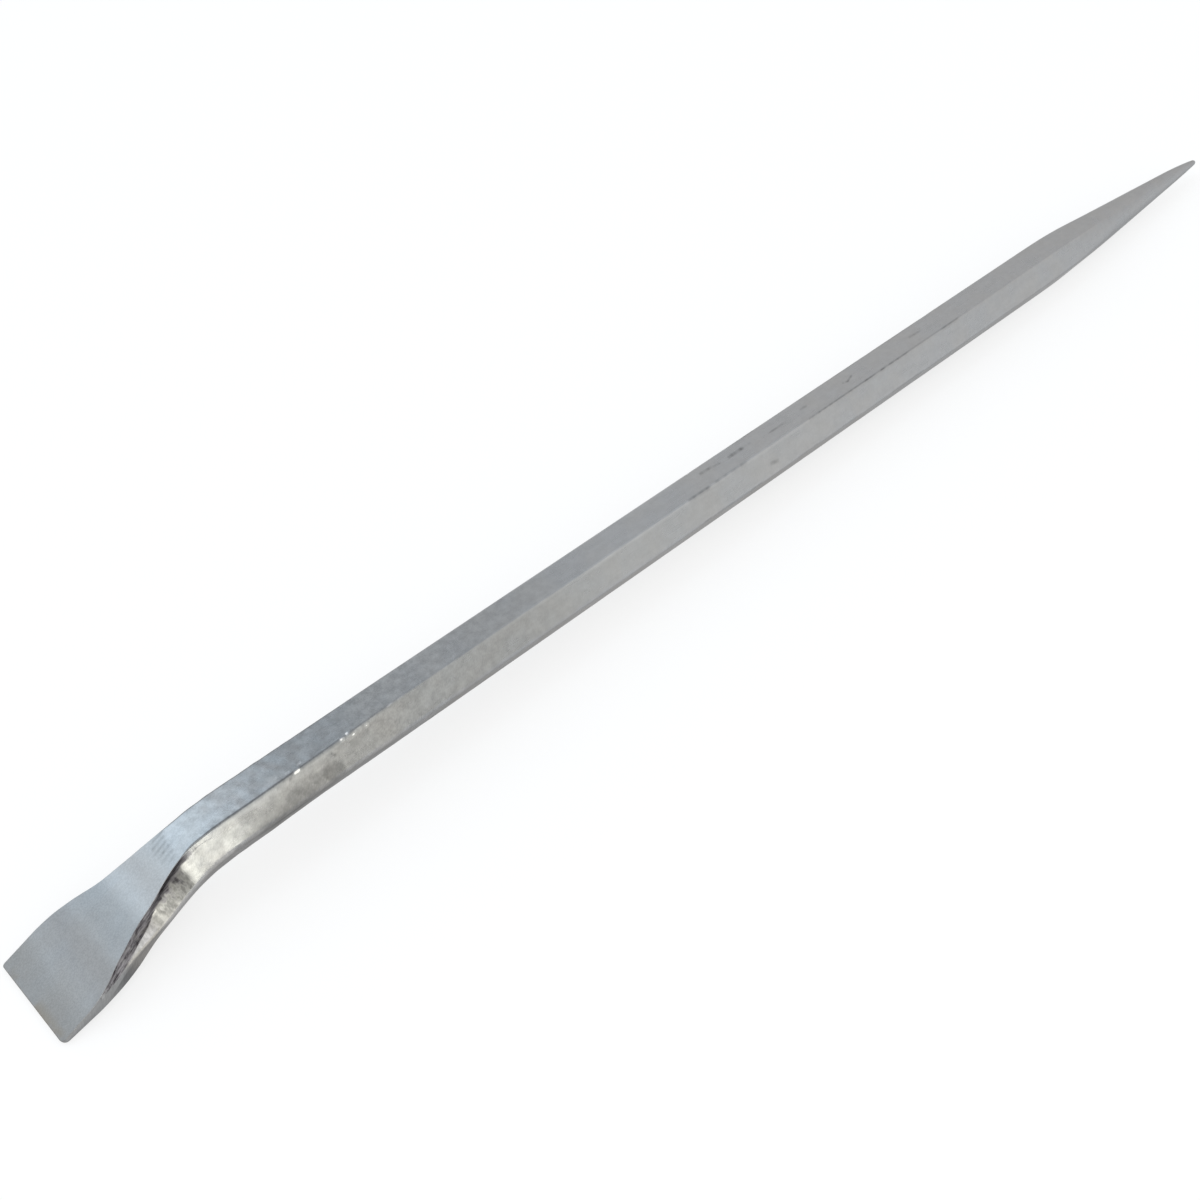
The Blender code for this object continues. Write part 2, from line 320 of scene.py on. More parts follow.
def outline(shape):  # points round a section, from the middle of the top face and back to it
    face, rise, cut = shape["face"], shape["rise"], shape["cut"]
    floor = -rise - shape["belly"]
    top, bottom = Vector((0, rise)), Vector((0, floor))
    edge, lowerEdge = Vector((face, rise)), Vector((face, floor))
    ridge = Vector((shape["ridge"], shape["ridgeHeight"]))
    foot = Vector((face - shape["undercut"], rise - shape["wall"]))
    foot = foot.lerp(edge.lerp(ridge, shape["wall"] / (rise - shape["ridgeHeight"])), shape["flush"])
    corners = [
        roundedCorner(top, edge, foot, cut, around["edge"]),
        roundedCorner(edge, foot, ridge, shape["footCut"], around["foot"]),
        roundedCorner(foot, ridge, lowerEdge, bar["ridgeCut"], around["ridge"]),
        roundedCorner(ridge, lowerEdge, bottom, cut, around["lowerEdge"]),
    ]
    half = [top]
    for corner, name in zip(corners + [[bottom]], ("top", "wall", "flank", "lower", "bottom")):
        start = half[-1]
        half += [start.lerp(corner[0], i / around[name]) for i in range(1, around[name])]
        half += corner
    return half + [Vector((-p.x, p.y)) for p in reversed(half[1:-1])]


def fade(x, start, end):  # from 0 at start smoothly to 1 at end; either may be the larger
    t = min(max((x - start) / (end - start), 0), 1)
    return t * t * (3 - 2 * t)


# a band is a change along the bar: by how much, 1 if it doesn't say, and the distances from the cutting
# edge, in mm, over which it comes in and goes out again
def strength(at, band):
    result = band.get("by", 1)
    if "comesIn" in band:
        start, end = band["comesIn"]
        result *= fade(at, start * mm, end * mm)
    if "goesOut" in band:
        start, end = band["goesOut"]
        result *= fade(at, end * mm, start * mm)
    return result


surface = {
    "stops": (70, 150, 312, 445),  # in mm from the cutting edge, where the rings' spacing changes
    "steps": (0.85, 0.60, 1.60, 1.00, 1.50),  # their spacing up to each stop and beyond the last, in mm
    "taperStep": 1.5 * mm,
    "noseStep": 1.0 * mm,
    "roundSteps": 8,  # rings in the rounding at either end
    "plainEdge": 4 * mm,  # the relief comes in over these lengths
    "plainTip": 12 * mm,
    "lip": dict(comesIn=(8, 24), goesOut=(80, 110)),  # the spread edge isn't quite straight
    "lipWave": 0.10 * mm,
    "lipWaveLength": 7 * mm,
    "forged": dict(comesIn=(6, 20), goesOut=(85, 150)),
    "waveDepth": 0.08 * mm,  # left by the forging on the blade and the bend
    "barWaveDepth": 0.015 * mm,  # and on the whole bar
    "waveLength": 24 * mm,
    "hammeredTop": dict(by=3.2, comesIn=(66, 80), goesOut=(110, 150)),
    "hammeredSides": dict(by=1.2, comesIn=(62, 76), goesOut=(125, 260)),
    "hammerDepth": 0.045 * mm,
    "hammerSize": 4.0 * mm,
    "scaly": dict(comesIn=(36, 50), goesOut=(66, 84)),
    "scaleDepth": 0.14 * mm,
    "scaleSize": 2.4 * mm,
    "folded": dict(comesIn=(20, 30), goesOut=(60, 74)),
    "foldDepth": 0.20 * mm,  # of the folds that the spreading has left in the wall
    "foldSize": 2.0 * mm,
    "foldSlant": 1.4,
    "foldScale": 0.35,  # along the bar; below 1 it draws them out
}


def lost(at, radius):  # how much a rounding takes off at a distance from the end
    return radius - sqrt(radius ** 2 - max(radius - at, 0) ** 2)


def forgedOutline(curves, at):
    shape = {name: value(at) for name, value in curves.items()}
    wave = noise.noise(Vector((at / surface["lipWaveLength"], 0.5, 0)))
    shape["face"] += surface["lipWave"] * strength(at, surface["lip"]) * wave
    near = 1 - lost(at, bar["bladeCornerRadius"]) / shape["ridge"]
    far = 1 - lost(at, bar["farCornerRadius"]) / shape["ridge"]
    thinner = 1 - lost(at, bar["edgeRounding"]) / shape["rise"]
    return [Vector((p.x * (near if p.x < 0 else far), p.y * thinner)) for p in outline(shape)]


def pointWidth(x):  # across the taper, at a distance from the tip
    slope = 2 * tan(point["halfAngle"])
    start = point["coneLength"] + point["coneBlend"]
    if x >= start:
        return bar["acrossFlats"]
    if x > point["coneLength"] - point["coneBlend"]:
        return bar["acrossFlats"] - slope * (start - x) ** 2 / (4 * point["coneBlend"])
    width = bar["acrossFlats"] - slope * (point["coneLength"] - x)
    if x < point["noseLength"]:
        width -= 2 * point["noseDrop"] * (1 - x / point["noseLength"]) ** 2
    if x < point["tipLength"]:
        width *= sqrt(1 - (1 - x / point["tipLength"]) ** 2)
    return width


def pointOutline(x):  # a hexagon that turns round
    width = pointWidth(x)
    roundness = fade(x, point["roundEnd"] + point["roundRun"], point["roundEnd"])
    sag = Vector((0, point["noseSag"] * max(1 - x / point["noseLength"], 0) ** 2))
    flats = [p * (width / bar["acrossFlats"]) for p in outline(barShape(0, bar["acrossFlats"] / 2))]
    return [p.lerp(p.normalized() * width / 2, roundness) - sag for p in flats]


def bent(at, y, z):  # a point of the straight forging, moved to where the bend puts it
    angle, radius, reach = bar["bendAngle"], bar["bendRadius"], bar["bladeReach"]
    turned = min(max((reach + radius * angle - at) / radius, 0), angle)
    straight = max(reach - at, 0)
    beyond = max(at - reach - radius * angle, 0)
    x = beyond - radius * sin(turned) - straight * cos(angle) - z * sin(turned)
    height = z * cos(turned) - radius * (1 - cos(turned)) - straight * sin(angle)
    return Vector((x + radius * sin(angle) + reach * cos(angle), y, height))


def spread(start, end, step):  # evenly spaced distances from start up to end
    count = max(1, round((end - start) / step))
    return [start + (end - start) * i / count for i in range(count)]


def quarterRound(radius, steps):  # distances that follow a rounded end
    return [radius * (1 - cos(pi / 2 * i / steps)) for i in range(steps)]


def sections():  # distance and points of every section, from the cutting edge to the tip
    table = shapes()
    at = [shape["at"] for shape in table]
    curves = {name: smoothCurve(at, [shape[name] for shape in table]) for name in table[0] if name != "at"}
    radius, angle = bar["bendRadius"], bar["bendAngle"]
    length = bar["length"] + radius * (angle - sin(angle)) + bar["bladeReach"] * (1 - cos(angle))
    taper = point["coneLength"] + point["coneBlend"]

    distances = quarterRound(bar["bladeCornerRadius"], surface["roundSteps"])
    distances = sorted(distances + [bar["edgeRounding"] / 2, bar["edgeRounding"]])
    stops = [bar["bladeCornerRadius"]] + [stop * mm for stop in surface["stops"]] + [length - taper]
    for start, end, step in zip(stops, stops[1:], surface["steps"]):
        distances += spread(start, end, step * mm)
    rings = [(d, forgedOutline(curves, d)) for d in distances]

    fromTip = quarterRound(point["tipLength"], surface["roundSteps"])[1:]
    fromTip += spread(point["tipLength"], point["noseLength"], surface["noseStep"])
    fromTip += spread(point["noseLength"], taper, surface["taperStep"]) + [taper]
    return rings + [(length - x, pointOutline(x)) for x in reversed(fromTip)] + [(length, pointOutline(0))]


def ripple(place, size, seed):  # smooth noise from -1 to 1
    return noise.noise(place / size + Vector((seed, 0.3, 0.7)))


def relief(place, region):  # how far the forged surface stands proud of its plain shape
    at = place.x
    depth = surface["barWaveDepth"] + surface["waveDepth"] * strength(at, surface["forged"])
    high = depth * ripple(place, surface["waveLength"], 1)
    hammered = strength(at, surface["hammeredTop" if region in topFace + ("bottom",) else "hammeredSides"])
    if hammered > 0:
        high += surface["hammerDepth"] * hammered * ripple(place, surface["hammerSize"], 2)
    if region in ("flank", "foot"):
        scales = abs(ripple(place, surface["scaleSize"], 3))
        high -= surface["scaleDepth"] * strength(at, surface["scaly"]) * scales
    if region in hollow:
        along = (place.x + place.z * surface["foldSlant"]) * surface["foldScale"]
        folds = ripple(Vector((along, place.y, place.z)), surface["foldSize"], 4)
        high += surface["foldDepth"] * strength(at, surface["folded"]) * folds
    return high


# marks that use has left, in mm in the straight bar: start and end, each with its distance from the cutting
# edge, its place across (near side negative) and its height; then how far the mark reaches, how deep it is,
# and how much darker (below 0) or brighter it leaves the plating; the brighter ones are painted glints,
# burrs that catch the light
marks = [
    ((114.6, -7.1, 9.7), (115.9, -7.1, 9.8), 1.1, 0.10, 1.5),
    ((135.1, -6.9, 10.3), (135.7, -6.9, 10.3), 0.9, 0.10, 1.4),
    ((138.0, -6.2, 10.7), (138.6, -6.2, 10.7), 0.8, 0.08, 1.3),
    ((137.5, -7.3, 9.6), (140.6, -7.3, 9.6), 0.8, 0.05, 0.75),
    ((141.8, -7.1, 9.9), (143.8, -7.1, 9.9), 0.8, 0.05, 0.95),
    ((145.8, -7.2, 9.7), (146.6, -7.2, 9.7), 0.8, 0.05, 0.80),
    ((148.6, -7.0, 10.1), (150.2, -7.0, 10.1), 0.8, 0.05, 0.80),
    ((157.2, -6.5, 10.9), (158.0, -6.5, 10.9), 0.5, 0.05, 0.5),
    ((162.4, -6.5, 10.9), (163.2, -6.5, 10.9), 0.5, 0.05, 0.5),
    ((117.4, -9.6, 5.4), (118.3, -11.2, 2.6), 0.8, 0.04, 0.20),
    ((118.6, -9.5, 5.6), (122.8, -9.4, 5.8), 0.7, 0.04, 0.15),
    ((122.6, -10.8, 3.2), (123.4, -12.0, 1.2), 0.8, 0.04, 0.18),
    ((106.0, -7.8, 8.6), (108.5, -7.9, 8.4), 0.6, 0.06, -0.20),
    ((111.5, -7.6, 8.8), (113.2, -7.8, 8.5), 0.7, 0.06, -0.30),
    ((129.6, -8.2, 8.0), (130.8, -8.6, 7.2), 0.9, 0.08, -0.35),
    ((63.9, -5.2, 9.3), (66.7, -4.5, 9.7), 0.7, 0.03, -0.12),
    ((62.6, -2.9, 9.1), (67.2, -2.4, 9.8), 0.8, 0.03, -0.16),
    ((62.7, -0.7, 9.2), (67.8, 0.2, 9.9), 0.8, 0.03, -0.17),
    ((62.3, 1.6, 9.1), (68.0, 2.5, 9.9), 0.8, 0.03, -0.17),
    ((63.2, 4.0, 9.2), (68.3, 4.7, 9.9), 0.8, 0.03, -0.18),
    ((64.4, 6.3, 9.4), (68.8, 6.5, 10.0), 0.8, 0.03, -0.20),
    ((3.0, -7.2, 1.1), (3.5, -6.8, 1.1), 0.6, 0.03, -0.30),
    ((78.0, -6.2, 10.2), (79.0, -6.2, 10.2), 1.1, 0.03, -0.14),
    ((81.2, -6.2, 10.2), (82.0, -6.2, 10.2), 0.9, 0.03, -0.12),
    ((86.5, -6.0, 10.2), (87.2, -6.0, 10.2), 1.2, 0.03, -0.16),
    ((89.4, -6.1, 10.2), (90.0, -6.1, 10.2), 1.0, 0.03, -0.14),
    ((107.5, -4.6, 10.2), (108.0, -4.6, 10.2), 0.7, 0.05, 0.55),
    ((111.5, -5.6, 10.2), (112.6, -5.6, 10.2), 0.6, 0.05, 0.50),
    ((117.2, -5.2, 10.3), (118.0, -5.0, 10.3), 0.6, 0.05, 0.60),
    ((320.3, -6.3, 11.0), (332.5, -6.4, 11.0), 0.9, 0.14, -0.32),
    ((336.5, -6.2, 11.1), (356.0, -6.4, 11.0), 0.9, 0.08, -0.15),
    ((336.5, 2.2, 11.1), (341.5, 2.0, 11.1), 1.2, 0.03, -0.22),
    ((343.5, 1.6, 11.1), (347.0, 1.2, 11.1), 0.9, 0.03, -0.18),
    ((353.5, 1.1, 11.1), (361.5, 1.1, 11.1), 1.4, 0.04, -0.27),
    ((361.5, 1.1, 11.1), (367.0, 1.1, 11.1), 1.0, 0.02, -0.11),
    ((378.5, -0.3, 11.1), (388.5, -0.3, 11.1), 0.9, 0.03, -0.20),
    ((401.5, 0.8, 11.1), (404.5, 0.8, 11.1), 1.0, 0.03, -0.22),
    ((399.0, -6.4, 11.0), (406.0, -6.4, 11.0), 0.7, 0.08, -0.14),
    ((430.2, -0.2, 11.1), (432.5, -0.9, 11.1), 0.9, 0.12, -0.42),
    ((432.5, -0.9, 11.1), (437.0, 0.6, 11.1), 0.7, 0.12, -0.30),
    ((369.2, -10.1, 4.7), (372.8, -10.5, 4.0), 1.3, 0.06, -0.24),
    ((406.0, -6.4, 11.0), (436.0, -6.4, 11.0), 0.6, 0.04, -0.16),
    ((436.5, -6.4, 11.0), (444.9, -6.4, 11.0), 0.6, 0.08, -0.24),
    ((450.3, -6.4, 11.0), (453.2, -6.4, 11.0), 0.7, 0.12, -0.26),
    ((456.1, -6.4, 11.0), (471.2, -6.4, 11.0), 0.6, 0.08, -0.17),
    ((480.5, 0.4, 11.1), (488.5, 0.0, 11.1), 1.0, 0.06, -0.20),
    ((497.5, -6.4, 11.0), (509.8, -6.4, 11.0), 0.7, 0.08, -0.18),
    ((320.0, -12.8, 0.0), (360.0, -12.8, 0.0), 0.8, 0.05, -0.20),
    ((385.0, -12.8, 0.0), (400.0, -12.8, 0.0), 0.7, 0.05, -0.18),
    ((417.0, -12.8, 0.0), (430.0, -12.8, 0.0), 0.6, 0.05, -0.16),
    ((454.0, -12.8, 0.0), (477.0, -12.8, 0.0), 0.7, 0.05, -0.20),
]

scatteredNicks = {  # small ones, on the corners that face away from the camera, in mm
    "seed": 7,
    "count": 46,
    "between": (90, 600),
    "corners": [(6.4, 11.0), (12.8, 0.0), (6.4, -11.0), (-6.4, -11.0)],
    "length": (0.5, 9),
    "reach": (0.4, 0.8),
    "depth": (0.04, 0.12),
    # the tone above 0 is a faint painted glint
    "tones": (-0.4, -0.3, -0.2, 0.3),
}

markEdges = {
    "raggedness": 1.1,
    "raggedSize": 1.6 * mm,
    "core": 0.25,  # the share of a mark's reach that has its full depth
}


def moreNicks():
    random.seed(scatteredNicks["seed"])
    found = []
    for _ in range(scatteredNicks["count"]):
        at = random.uniform(*scatteredNicks["between"])
        y, z = random.choice(scatteredNicks["corners"])
        end = at + random.uniform(*scatteredNicks["length"])
        reach = random.uniform(*scatteredNicks["reach"])
        tone = random.choice(scatteredNicks["tones"])
        depth = random.uniform(*scatteredNicks["depth"])
        found.append(((at, y, z), (end, y, z), reach, depth, tone))
    return found


def strike(rings, tone):  # presses every mark into the rings that it crosses
    for start, end, reach, depth, change in marks + moreNicks():
        start, end, reach = Vector(start) * mm, Vector(end) * mm, reach * mm
        along = end - start
        for at, verts, points, normals in rings:
            if not start.x - reach < at < end.x + reach:
                continue
            t = min(max((at - start.x) / along.x, 0), 1)
            middle = start + along * t
            waver = ripple(Vector((at, middle.y, middle.z)), markEdges["raggedSize"], 9)
            ragged = 1 + markEdges["raggedness"] * waver
            for vert, p, normal in zip(verts, points, normals):
                if abs(p.x - middle.y) < reach and abs(p.y - middle.z) < reach:
                    gap = (Vector((at, p.x, p.y)) - middle).length
                    share = fade(gap, reach, reach * markEdges["core"]) * ragged
                    vert.co -= normal * depth * mm * share
                    vert[tone] += change * share


# bands of tone, darker below 0, each with the parts of the section that it changes
toneBands = [
    dict(on=topFace, by=-0.17, goesOut=(6, 17)),
    dict(on=topFace, by=0.08, goesOut=(30, 36)),
    dict(on=topFace, by=-0.22, goesOut=(41, 49)),
    dict(on=topFace, by=-0.04, goesOut=(67.4, 68.6)),  # with a fine step where the ground blade ends
    dict(on=topFace, by=-0.06, comesIn=(59, 65), goesOut=(67.4, 68.6)),
    dict(on=topFace, by=-0.16, comesIn=(90, 103), goesOut=(205, 285)),
    dict(on=topFace, by=-0.12, comesIn=(104, 120), goesOut=(130, 185)),
    # painted shade: the wall and its foot darker under the spread edge
    dict(on=hollow, by=-0.28, goesOut=(17, 24)),
    dict(on=hollow, by=-0.68, comesIn=(47, 57), goesOut=(65, 72)),
    # painted shade in the hollow corner at the wall's foot
    dict(on=["foot"], by=-0.4, comesIn=(35, 41), goesOut=(46, 53)),
    dict(on=["wall", "foot", "flank"], by=-0.07, comesIn=(66, 68), goesOut=(72, 75)),
    # painted shade on the flank under the wall
    dict(on=["flank"], by=-0.26, comesIn=(48, 58), goesOut=(64.6, 66.2)),
    dict(on=["flank"], by=-0.30, comesIn=(56, 62), goesOut=(64.6, 66.2)),
    # partly the raw sheared sides of the blade, partly painted shade from the shadowed floor beside them
    dict(on=["flank", "ridge", "lower", "lowerEdge"], by=-0.28, goesOut=(28, 38)),
    # painted shade on the lower side, which faces the shadowed floor under the bar
    dict(on=["lower"], by=-0.32, comesIn=(18, 28), goesOut=(50, 62)),
    dict(on=["lower"], by=-0.38, comesIn=(52, 66), goesOut=(120, 270)),
    dict(on=["lower"], by=-0.12, comesIn=(180, 270), goesOut=(540, 600)),
]

# painted shade on the sides, low down at first and over their whole height further back
paintedSideShade = {  # low on the sides at first, and over their whole height further back
    "band": dict(by=-0.17, comesIn=(90, 103), goesOut=(205, 285)),
    "whole": dict(comesIn=(105, 150)),
    "heights": (3.5 * mm, 7.5 * mm),
}

# painted shade in patches on the near side, in mm: middle and half size along the bar and in height, how
# soft their edges are, and how much darker they are
paintedShadePatches = [
    dict(at=118.0, height=0.4, long=14.5, high=5.9, soft=0.13, tone=-0.19),
    dict(at=127.5, height=2.6, long=4.8, high=3.4, soft=0.22, tone=-0.29),
    dict(at=109.5, height=3.0, long=3.6, high=2.6, soft=0.22, tone=-0.25),
    dict(at=101, height=-1.8, long=17, high=3.7, soft=0.35, tone=-0.27),
]

shadePatchEdges = {
    "nearSide": -6.6 * mm,  # the patches lie further out than this
    "outermost": 1.6,  # in half lengths of a patch
    "squareness": 2.5,  # 2 would make them ovals
    "waves": ((0.34, 4 * mm, 5), (0.16, 1.5 * mm, 6)),  # depth, size and seed
    "mottling": 0.8,  # how much the waves lighten a patch
}


def summed(at, region, bands):
    return sum(strength(at, band) for band in bands if region in band["on"])


# much of this tone is painted shade: the darker bands, the side shade and the patches
def toneAndPaintedShade(place, region):  # a point's tone, from the bands and the patches
    at = place.x
    tone = summed(at, region, toneBands)
    if region in topFace:
        return tone
    low, high = paintedSideShade["heights"]
    share = max(fade(place.z, high, low), strength(at, paintedSideShade["whole"]))
    tone += strength(at, paintedSideShade["band"]) * share
    if place.y > shadePatchEdges["nearSide"]:
        return tone
    ragged, deepest = None, 0
    power = shadePatchEdges["squareness"]
    for patch in paintedShadePatches:
        along = abs(at / mm - patch["at"]) / patch["long"]
        if along > shadePatchEdges["outermost"]:
            continue
        if ragged is None:
            ragged = sum(depth * ripple(place, size, seed) for depth, size, seed in shadePatchEdges["waves"])
        up = abs(place.z / mm - patch["height"]) / patch["high"]
        out = (along ** power + up ** power) ** (1 / power) + ragged
        inside = fade(out, 1 + patch["soft"], 1 - patch["soft"])
        deepest = min(deepest, patch["tone"] * inside * (1 - shadePatchEdges["mottling"] * abs(ragged)))
    return tone + deepest


toneLines = {  # along the top face's edges and the side ridges
    "edge": [dict(by=-0.50, comesIn=(62, 70), goesOut=(105, 205)),
             dict(by=-0.16, comesIn=(385, 440), goesOut=(490, 525))],
    "edgeFullness": 1.4,  # above 1, more of the edge's rounding has the full tone
    "pastEdge": 0.3,  # in steps round the section
    # painted shade along the side ridge near the blade, where its rounding would show a bright line
    "ridge": dict(by=-0.42, comesIn=(22, 30), goesOut=(46, 53)),
    "ridgeSteps": 4,  # it comes in over so many steps round the ridge
}

# bands of painted warm light, from the plating's cool grey at 0 to its warm-lit one at 1; the sides take
# more of it
paintedWarmLightBands = [
    dict(on=topFace, by=0.14),
    dict(on=topFace, by=0.40, goesOut=(6, 20)),
    dict(on=topFace, by=0.10, comesIn=(120, 200)),
    dict(on=topFace, by=0.24, comesIn=(250, 400)),
    dict(on=sides, by=0.36),
    dict(on=sides, by=0.26, comesIn=(28, 34), goesOut=(130, 180)),
    dict(on=sides, by=0.30, comesIn=(28, 34), goesOut=(44, 50)),
    dict(on=sides, by=-0.03, comesIn=(200, 300)),
    dict(on=["lower"], by=0.35, comesIn=(130, 200), goesOut=(380, 480)),
]

oxideBands = {
    "wall": dict(by=1.15, comesIn=(17, 24), goesOut=(64, 76)),
    "foot": dict(by=1.15, comesIn=(17, 24), goesOut=(64, 76)),
    "edge": dict(by=1.1, comesIn=(17, 24), goesOut=(64, 76)),
    "flank": dict(comesIn=(46, 58), goesOut=(64.6, 66.2)),
    "flankFront": dict(by=0.14, comesIn=(32, 40), goesOut=(64.6, 66.2)),
}
flankOxide = {"top": 0.84, "bottom": 0.22}
cleanEdgeSteps = 2  # the steps of the edge's rounding that hold no oxide

wornBands = {
    "edge": dict(comesIn=(120, 240), goesOut=(375, 420)),
    "rim": dict(comesIn=(74, 84), goesOut=(100, 150)),
}
rimSteps = {"below": 1.0, "width": 1.5}  # where the rim lies under the edge, in steps round the section


def crest(steps):  # 1 along the top face's edges, 0 just past the ends of their rounding
    half = around["edge"] / 2
    away = abs(steps - begins["edge"] - half) / (half + toneLines["pastEdge"])
    return min(1, toneLines["edgeFullness"] * max(0, 1 - away))


def finishAt(at, index):  # a point's oxide, wear and painted warm light, and the tone of a line that it lies on
    region = regionOf(index)
    steps = min(index, 2 * len(regions) - index)
    oxide = strength(at, oxideBands[region]) if region in oxideBands else 0
    if region == "flank":
        down = (steps - begins["flank"]) / around["flank"]
        oxide *= flankOxide["top"] + (flankOxide["bottom"] - flankOxide["top"]) * down
        oxide = max(oxide, strength(at, oxideBands["flankFront"]))
    elif region == "edge":
        oxide *= fade(steps, begins["edge"] + cleanEdgeSteps, begins["wall"])
    rim = max(0, 1 - abs(steps - begins["wall"] - rimSteps["below"]) / rimSteps["width"])
    worn = rim * strength(at, wornBands["rim"])
    if region == "edge":
        worn += strength(at, wornBands["edge"])
    line = crest(steps) * sum(strength(at, band) for band in toneLines["edge"])
    if region == "ridge":
        share = fade(steps, begins["ridge"], begins["ridge"] + toneLines["ridgeSteps"])
        line += strength(at, toneLines["ridge"]) * share
    return oxide, worn, summed(at, region, paintedWarmLightBands), line


def growForging():  # a round of stock, drawn out in rings, each ring forged to its section
    found = sections()
    count, last = len(found[0][1]), len(found) - 1
    bm = bmesh.new()
    bmesh.ops.create_cone(bm, cap_ends=True, segments=count, radius1=1, radius2=1, depth=1)
    lengthwise = [e for e in bm.edges if abs(e.verts[0].co.z - e.verts[1].co.z) > 0.5]
    bmesh.ops.subdivide_edges(bm, edges=lengthwise, cuts=last - 1, use_grid_fill=True)
    stock = bm.verts.layers.float_vector.new("stock")  # a point's place in the straight bar
    oxide = bm.verts.layers.float.new("oxide")  # left by the forge where nothing polished it
    worn = bm.verts.layers.float.new("worn")  # rubbed edges
    # the tone holds the marks, the painted glints and the painted shade
    tone = bm.verts.layers.float.new("tone")  # darker or brighter than the plating about it
    paintedWarmLight = bm.verts.layers.float.new("paintedWarmLight")  # painted warm light, from the plating's cool grey to its warm-lit one
    rings = [[None] * count for _ in found]
    for vert in bm.verts:
        ring = round((vert.co.z + 0.5) * last)
        rings[ring][round(atan2(vert.co.x, vert.co.y) / (2 * pi) * count) % count] = vert
    for ring, (at, points) in zip(rings, found):
        for i, (vert, p) in enumerate(zip(ring, points)):
            vert.co = bent(at, p.x, p.y)
            vert[stock] = (at, p.x, p.y)
            vert[oxide], vert[worn], vert[paintedWarmLight], line = finishAt(at, i)
            vert[tone] = min(line, toneAndPaintedShade(vert[stock], regionOf(i)))
    bmesh.ops.recalc_face_normals(bm, faces=bm.faces)
    bm.normal_update()
    length = found[-1][0]
    normals = [[v.normal.copy() for v in ring] for ring in rings]
    for ring, (at, _), ringNormals in zip(rings, found, normals):
        ends = fade(at, 0, surface["plainEdge"]) * fade(length - at, 0, surface["plainTip"])
        for i, (vert, normal) in enumerate(zip(ring, ringNormals)):
            vert.co += normal * relief(vert[stock], regionOf(i)) * ends
    strike([(at, ring, points, n) for ring, n, (at, points) in zip(rings, normals, found)], tone)
    bmesh.ops.pointmerge(bm, verts=rings[-1], merge_co=bent(length, 0, -point["noseSag"]))
    return bm


def restAngle(points):  # the tilt at which the bar lies on its cutting edge and its lower flat
    lowest = min(points, key=lambda p: p.z)
    beyond = [p for p in points if p.x > lowest.x + bar["acrossFlats"]]
    return atan(min((p.z - lowest.z) / (p.x - lowest.x) for p in beyond))


finish = {
    "cool": (0.386, 0.402, 0.420, 1),
    # the plating's grey as warm light tints it, for the painted warm light
    "warmLit": (0.438, 0.423, 0.404, 1),
    "oxideDark": (0.060, 0.054, 0.060, 1),
    "oxidePale": (0.360, 0.345, 0.360, 1),
    "bare": (0.58, 0.59, 0.60, 1),
    # painted glint: the white that chips and burrs show where they catch the light
    "paintedGlint": (0.98, 0.98, 0.97, 1),
    "rust": (0.36, 0.29, 0.20, 1),
    "oxideRoughness": 0.20,  # added where oxide is left
    "dentDepth": 0.05 * mm,
    "edgeTint": 0.6,  # how dark the steel turns just before it mirrors at a glance
}

# noise on the plating: the size of its spots in mm, its detail and roughness, its scale along the bar,
# across it and in height (below 1 draws the spots out), and how far it is turned on the sides, in degrees
patterns = {
    "clouds": dict(size=18, detail=3.0, roughness=0.55),
    "mottle": dict(size=3.6, detail=3.5, roughness=0.62),
    "streaks": dict(size=2.2, detail=2.0, roughness=0.5, scale=(0.15, 1, 1)),
    "worms": dict(size=1.7, detail=2.0, roughness=0.6, scale=(1, 0.4, 0.4)),
    "flecks": dict(size=0.9, detail=2.0, roughness=0.6, scale=(0.15, 1, 1)),
    "scratches": dict(size=0.45, detail=1.0, roughness=0.5, scale=(0.16, 1, 1), turn=50),
}

# what a pattern does: the values that it gives where the noise is low and where it is high, and the width
# of the noise's middle part, over which they change
effects = {
    "cloudWarmth": dict(of="clouds", values=(-0.14, 0.14), width=0.4),
    "mottleShade": dict(of="mottle", values=(-0.5, 0.5), width=0.4),
    "wormShade": dict(of="worms", values=(-0.30, 0.30), width=0.3),
    "scratchShade": dict(of="scratches", values=(-0.5, 0.5), width=0.4),
    "streakShade": dict(of="streaks", values=(-0.02, 0.02), width=0.4),
    "rubbedShare": dict(of="streaks", values=(0.22, 0.42), width=0.4),
    "brokenOxide": dict(of="worms", values=(-0.35, 0.35), width=0.36),
    "fleckDarkness": dict(of="flecks", values=(0.0, 0.6), width=0.24),
    "streakDarkness": dict(of="streaks", values=(0.0, 0.4), width=0.24),
    "glintEdge": dict(of="flecks", values=(-0.25, 0.15), width=0.4),
    "cloudGloss": dict(of="clouds", values=(-0.03, 0.03), width=0.4),
    "streakGloss": dict(of="streaks", values=(-0.02, 0.02), width=0.4),
}

# values that change between two distances from the cutting edge, in mm
gradients = {
    "mottleFront": dict(at=(60, 80), values=(0.05, 0.25)),
    "mottleBack": dict(at=(140, 290), values=(1.0, 0.22)),
    "scratches": dict(at=(150, 260), values=(0.14, 0.05)),
    "rust": dict(at=(5, 0), values=(0.0, 0.4)),
    "roughness": dict(at=(44, 34), values=(0.30, 0.38)),
    "dents": dict(at=(150, 110), values=(0.3, 0.8)),
}

# between which values of an attribute or a noise something comes in
thresholds = {
    "wormsByOxide": (0.0, 0.25),
    "rustByClouds": (0.5, 0.62),
    "crustByOxide": (0.40, 1.10),
    "glintsByTone": (0.3, 0.7),
}


def pattern(tree, place, size, detail, roughness, scale=None, turn=0):
    if turn:
        place = addNode(tree, "VectorRotate", {"Vector": place, "Angle": radians(turn)},
                        rotation_type="Y_AXIS").outputs[0]
    if scale:
        place = addNode(tree, "VectorMath", {0: place, 1: scale}, operation="MULTIPLY").outputs[0]
    return addNode(tree, "TexNoise", {"Vector": place, "Scale": 1 / (size * mm), "Detail": detail,
                                      "Roughness": roughness}).outputs["Fac"]


